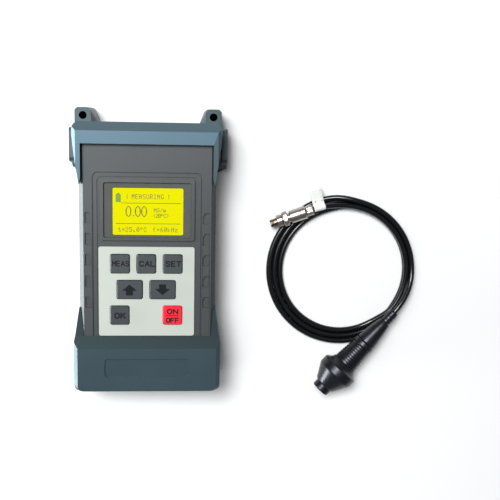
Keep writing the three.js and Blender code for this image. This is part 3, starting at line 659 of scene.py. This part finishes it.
# outer skin offset by the paper thickness
def offset2d(pts, d):
    out = []
    for i, p in enumerate(pts):
        a = Vector(pts[max(0, i - 1)]); b = Vector(pts[min(len(pts) - 1, i + 1)])
        t = (b - a).normalized()
        out.append((p[0] - t.y * d, p[1] + t.x * d))
    return out
oa, ob = offset2d(path2d, TH), path2d
# keep the skin that lies outside
if Vector(oa[10]).length < Vector(ob[10]).length:
    oa = offset2d(path2d, -TH)
verts, faces = [], []
cols = 9
wlab = 8.5
for c in range(cols):
    u = (c / (cols - 1) - 0.5) * wlab
    base_p = lab_c + lab_t * u
    for ring in (oa, ob):
        for (x, y) in ring:
            far = max(0.0, x - R1) / flag_len
            curl = 0.9 * far * far * (0.6 + 0.4 * (c / (cols - 1)))
            verts.append(P(*(base_p + lab_n * x + lab_b * (y + curl))))
L = len(oa)
S = 2 * L
for c in range(cols - 1):
    for i in range(L - 1):
        a, b = c * S + i, (c + 1) * S + i
        faces.append((a, b, b + 1, a + 1))
        a, b = c * S + L + i, (c + 1) * S + L + i
        faces.append((a, a + 1, b + 1, b))
    for i in (0, L - 1):
        a, b = c * S + i, (c + 1) * S + i
        faces.append((a, a + L, b + L, b))
for c in (0, cols - 1):
    for i in range(L - 1):
        a = c * S + i
        faces.append((a, a + 1, a + L + 1, a + L))
label = mesh_object("flag_label", verts, faces, "label_white", True, "probe_set")
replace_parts(label, "cord_label")
mv, mf = [], []
for (u, x, wu, wx) in [(-2.9, 12.0, 0.5, 0.7), (-2.5, 9.6, 0.4, 0.5), (-2.7, 7.4, 0.5, 0.5), (-2.9, 4.9, 0.9, 0.5), (-2.9, 4.1, 0.5, 0.5), (-2.8, 3.3, 0.9, 0.4),
                       (1.9, 5.2, 0.7, 0.5), (2.1, 4.3, 0.5, 0.5), (1.9, 3.4, 0.9, 0.4), (2.6, 4.8, 0.3, 0.4)]:
    k = len(mv)
    for (du, dx) in ((-wu, -wx), (wu, -wx), (wu, wx), (-wu, wx)):
        X = x + dx / 2
        far = max(0.0, X - R1) / flag_len
        curl = 0.9 * far * far * (0.6 + 0.4 * ((u + du / 2) / wlab + 0.5))
        mv.append(P(*(lab_c + lab_t * (u + du / 2) + lab_n * X + lab_b * (0.12 + TH + 0.05 + curl))))
    mf.append((k, k + 1, k + 2, k + 3))
marks = mesh_object("label_marks", mv, mf, "label_print", False, "probe_set")

# ------------------------------------------------------------ display
mask = slab("window_mask", round_rect(-28.4, 28.4, 9.5, 45.2, 1.2), 40.16, 40.3, "window_mask",
            holes=[round_rect(-23.0, 23.6, 10.9, 42.1, 1.1)])

FONT = {
    "0": "01110 10001 10011 10101 11001 10001 01110", "1": "00100 01100 00100 00100 00100 00100 01110",
    "2": "01110 10001 00001 00110 01000 10000 11111", "5": "11111 10000 11110 00001 00001 10001 01110",
    "6": "00110 01000 10000 11110 10001 10001 01110", "8": "01110 10001 10001 01110 10001 10001 01110",
    "A": "01110 10001 10001 11111 10001 10001 10001", "C": "01110 10001 10000 10000 10000 10001 01110",
    "E": "11111 10000 10000 11110 10000 10000 11111", "F": "11111 10000 10000 11110 10000 10000 10000",
    "H": "10001 10001 10001 11111 10001 10001 10001", "M": "10001 11011 10101 10101 10001 10001 10001",
    "N": "10001 11001 10101 10011 10001 10001 10001", "R": "11110 10001 10001 11110 10100 10010 10001",
    "S": "01111 10000 10000 01110 00001 00001 11110", "T": "11111 00100 00100 00100 00100 00100 00100",
    "U": "10001 10001 10001 10001 10001 10001 01110", "z": "00000 00000 11111 00010 00100 01000 11111",
    "m": "00000 00000 11010 10101 10101 10101 10101", "k": "10000 10000 10010 10100 11000 10100 10010",
    "(": "00010 00100 01000 01000 01000 00100 00010", ")": "01000 00100 00010 00010 00010 00100 01000",
    "=": "00000 00000 11111 00000 11111 00000 00000", "-": "00000 00000 00000 11111 00000 00000 00000",
    "/": "00001 00010 00010 00100 01000 01000 10000", ".": "00000 00000 00000 00000 00000 01100 01100",
    ":": "00000 01100 01100 00000 01100 01100 00000", "%": "11001 11010 00010 00100 01000 01011 10011", " ": "00000 " * 7,
    "o": "01100 10010 10010 01100 00000 00000 00000", "f": "00110 01000 11100 01000 01000 01000 01000",
}
FONT["G"] = "01110 10001 10000 10000 10011 10001 01110"
FONT["I"] = "01110 00100 00100 00100 00100 00100 01110"
FONT["t"] = "01000 01000 11110 01000 01000 01001 00110"
LX0, LY1 = -23.0 + 1.3, 42.1 - 1.2  # upper left dot of the display field
DOT, DOTY = 44.0 / 128, 28.8 / 80
dots = set()


def put_text(txt, c, r, adv=6, tall=False):
    order = [0, 1, 1, 2, 3, 4, 5, 5, 6] if tall else list(range(7))
    for i, ch in enumerate(txt):
        rows = FONT[ch].split()
        for ry, k in enumerate(order):
            for rx, bit in enumerate(rows[k]):
                if bit == "1":
                    dots.add((c + i * adv + rx, r + ry))


def put_ring(c, r, w, h, t=1.6):
    for x in range(w):
        for y in range(h):
            ex, ey = (x + 0.5 - w / 2) / (w / 2), (y + 0.5 - h / 2) / (h / 2)
            ix, iy = (x + 0.5 - w / 2) / (w / 2 - t), (y + 0.5 - h / 2) / (h / 2 - t * 0.9)
            if ex * ex + ey * ey <= 1 and ix * ix + iy * iy >= 1:
                dots.add((c + x, r + y))


dots |= {(x, 24) for x in range(13, 127)} | {(x, 62) for x in range(2, 126)}
put_text("(", 22, 8, tall=True)
put_text("MEASURING", 33, 8, 7, tall=True)
put_text(")", 101, 8, tall=True)
put_ring(21, 30, 11, 20)
dots |= {(x, y) for x in (35, 36) for y in (47, 48)}
put_ring(39, 30, 11, 20)
put_ring(51, 30, 11, 20)
put_text("MS/m", 75, 34, 6)
put_text("(20oC)", 74, 44, 5)
put_text("t=25.0oC", 7, 69, 7, tall=True)
put_text("f=60kHz", 74, 69, 7, tall=True)


def dot_mesh(name, cells, mat, z, gap=1.0, lift=0.012):
    verts, faces = [], []
    for (c, r) in sorted(cells):
        x0 = LX0 + c * DOT
        y1 = LY1 - r * DOTY
        x1, y0 = x0 + DOT * gap, y1 - DOTY * gap
        b = len(verts)
        for zz in (z, z + lift):
            for (x, y) in ((x0, y0), (x1, y0), (x1, y1), (x0, y1)):
                verts.append(P(x, y, zz))
        faces += [(b + 4, b + 5, b + 6, b + 7), (b, b + 3, b + 2, b + 1), (b, b + 1, b + 5, b + 4), (b + 1, b + 2, b + 6, b + 5),
                  (b + 2, b + 3, b + 7, b + 6), (b + 3, b, b + 4, b + 7)]
    return mesh_object(name, verts, faces, mat, False, "root")


dot_mesh("lcd_readout", dots, "lcd_ink", 40.105, 0.96)
battery = {(x, y) for x in range(2, 12) for y in range(9, 23)} | {(x, 8) for x in range(3, 11)} | {(x, 7) for x in range(4, 10)} | {(x, 6) for x in range(5, 9)}
dot_mesh("lcd_battery_mark", battery, "lcd_green", 40.105, 1.0)

# ------------------------------------------------------------ key legends
KT = 42.3
STROKES = {
    "M": [[(0, 0), (0, 6)], [(0, 6), (2, 2.4)], [(2, 2.4), (4, 6)], [(4, 6), (4, 0)]],
    "E": [[(0, 0), (0, 6)], [(0, 6), (3.6, 6)], [(0, 3.1), (3.2, 3.1)], [(0, 0), (3.7, 0)]],
    "A": [[(0, 0), (2, 6)], [(2, 6), (4, 0)], [(0.9, 2.1), (3.1, 2.1)]],
    "S": [[(3.8, 4.9), (3.1, 5.8)], [(3.1, 5.8), (1.0, 6)], [(1.0, 6), (0.1, 5.0)], [(0.1, 5.0), (0.5, 3.7)], [(0.5, 3.7), (3.3, 2.6)], [(3.3, 2.6), (3.9, 1.4)],
          [(3.9, 1.4), (3.1, 0.1)], [(3.1, 0.1), (0.9, 0)], [(0.9, 0), (0.1, 1.1)]],
    "C": [[(3.9, 4.8), (3.1, 5.8)], [(3.1, 5.8), (1.3, 6)], [(1.3, 6), (0.1, 4.6)], [(0.1, 4.6), (0.1, 1.4)], [(0.1, 1.4), (1.3, 0)], [(1.3, 0), (3.1, 0.2)], [(3.1, 0.2), (3.9, 1.3)]],
    "L": [[(0, 0), (0, 6)], [(0, 0), (3.6, 0)]],
    "T": [[(2, 0), (2, 6)], [(0, 6), (4, 6)]],
    "O": [[(1.2, 0), (0, 1.5)], [(0, 1.5), (0, 4.5)], [(0, 4.5), (1.2, 6)], [(1.2, 6), (2.8, 6)], [(2.8, 6), (4, 4.5)], [(4, 4.5), (4, 1.5)], [(4, 1.5), (2.8, 0)], [(2.8, 0), (1.2, 0)]],
    "K": [[(0, 0), (0, 6)], [(3.8, 6), (0.3, 2.6)], [(1.5, 3.7), (4, 0)]],
    "N": [[(0, 0), (0, 6)], [(0, 6), (4, 0)], [(4, 0), (4, 6)]],
    "F": [[(0, 0), (0, 6)], [(0, 6), (3.7, 6)], [(0, 3.1), (3.2, 3.1)]],
}


def legend(name, word, x, y, width, height, weight, mat, body):
    """Plain block capitals drawn with straight strokes, centred at x, y (mm) on the key tops."""
    n = len(word)
    pitch = (width - weight) / (n * 4 + (n - 1) * 1.7)
    k = (height - weight) / 6
    verts, faces = [], []
    step = 0
    for i, ch in enumerate(word):
        ox = x - width / 2 + weight / 2 + i * 5.7 * pitch
        oy = y - height / 2 + weight / 2
        for (a, b) in STROKES[ch]:
            A, B = Vector((ox + a[0] * pitch, oy + a[1] * k)), Vector((ox + b[0] * pitch, oy + b[1] * k))
            t = (B - A).normalized()
            A2, B2 = A - t * weight * 0.42, B + t * weight * 0.42
            m = Vector((-t.y, t.x)) * weight / 2
            q = len(verts)
            z0, z1 = KT, KT + 0.03 + step * 0.0006
            step += 1
            for z in (z0, z1):
                for c in (A2 - m, B2 - m, B2 + m, A2 + m):
                    verts.append(P(c.x, c.y, z))
            faces += [(q + 4, q + 5, q + 6, q + 7), (q, q + 3, q + 2, q + 1), (q, q + 1, q + 5, q + 4), (q + 1, q + 2, q + 6, q + 5),
                      (q + 2, q + 3, q + 7, q + 6), (q + 3, q, q + 4, q + 7)]
    return mesh_object(name, verts, faces, mat, False, body)


legend("legend_meas", "MEAS", -17.7, -8.2, 11.4, 3.9, 0.62, "legend_dark", "meas_key")
legend("legend_cal", "CAL", -0.1, -8.2, 10.8, 4.0, 0.8, "legend_dark", "cal_key")
legend("legend_set", "SET", 17.2, -8.2, 10.6, 4.0, 0.8, "legend_dark", "set_key")
legend("legend_ok", "OK", -18.2, -43.6, 7.6, 4.2, 0.85, "legend_dark", "ok_key")
legend("legend_on", "ON", 16.9, -40.7, 7.6, 3.8, 0.85, "legend_red", "power_key")
legend("legend_off", "OFF", 16.8, -46.7, 8.8, 3.8, 0.85, "legend_red", "power_key")
slab("legend_bar", [(12.4, -43.8), (21.0, -43.8), (21.0, -43.3), (12.4, -43.3)], KT, KT + 0.03, "legend_red", "power_key")
up = [(0, 3.6), (5.0, -0.7), (2.3, -0.7), (2.3, -3.8), (-2.3, -3.8), (-2.3, -0.7), (-5.0, -0.7)]
slab("legend_up", [(-11.9 + x, -25.9 + y) for x, y in up], KT, KT + 0.03, "legend_dark", "up_key")
slab("legend_down", [(10.1 + x, -25.9 - y) for x, y in up], KT, KT + 0.03, "legend_dark", "down_key")

# ------------------------------------------------------------ socket in the top end
so = lathe("socket_shell", [(5.2, 70.5), (7.2, 70.5), (7.2, 81), (8.4, 81), (8.4, 82.4), (8.0, 82.8), (6.2, 83.4), (5.9, 83.4), (5.4, 83.1), (5.2, 82.6)],
           P(0, 0, 22), Vector((0, 1, 0)), "nickel", 96, "root", 0.15, None)
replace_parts(so, "probe_socket")

# ------------------------------------------------------------ stage, light
fl = bpy.data.meshes.new("floor")
fl.from_pydata([(-6, -6, -0.0003), (6, -6, -0.0003), (6, 6, -0.0003), (-6, 6, -0.0003)], [], [(0, 1, 2, 3)])
floor = bpy.data.objects.new("floor", fl)
scene.collection.objects.link(floor)
fl.materials.append(M["pale_floor"])

world = bpy.data.worlds.new("studio")
scene.world = world
world.use_nodes = True
bg = world.node_tree.nodes["Background"]
bg.inputs[0].default_value = (0.95, 0.98, 1, 1)
bg.inputs[1].default_value = 0.17


def area(name, loc, target, size, energy, color=(1, 1, 1)):
    li = bpy.data.lights.new(name, "AREA")
    li.shape = "RECTANGLE"
    li.size, li.size_y = size
    li.energy = energy
    li.color = color
    o = bpy.data.objects.new(name, li)
    scene.collection.objects.link(o)
    o.location = loc
    o.rotation_euler = (Vector(target) - Vector(loc)).to_track_quat("-Z", "Y").to_euler()
    return o


area("key", P(-420, 720, 1980), P(30, -10, 0), (0.75, 0.75), 47.0)
area("softbox", P(-300, 210, 760), P(0, 20, 0), (0.42, 0.42), 1.9, (0.93, 0.98, 1.0))
area("left_strip", P(-950, 60, 76), P(-20, 0, 30), (1.3, 0.12), 32.0, (0.93, 0.98, 1.0))
scene.view_settings.view_transform = "Standard"
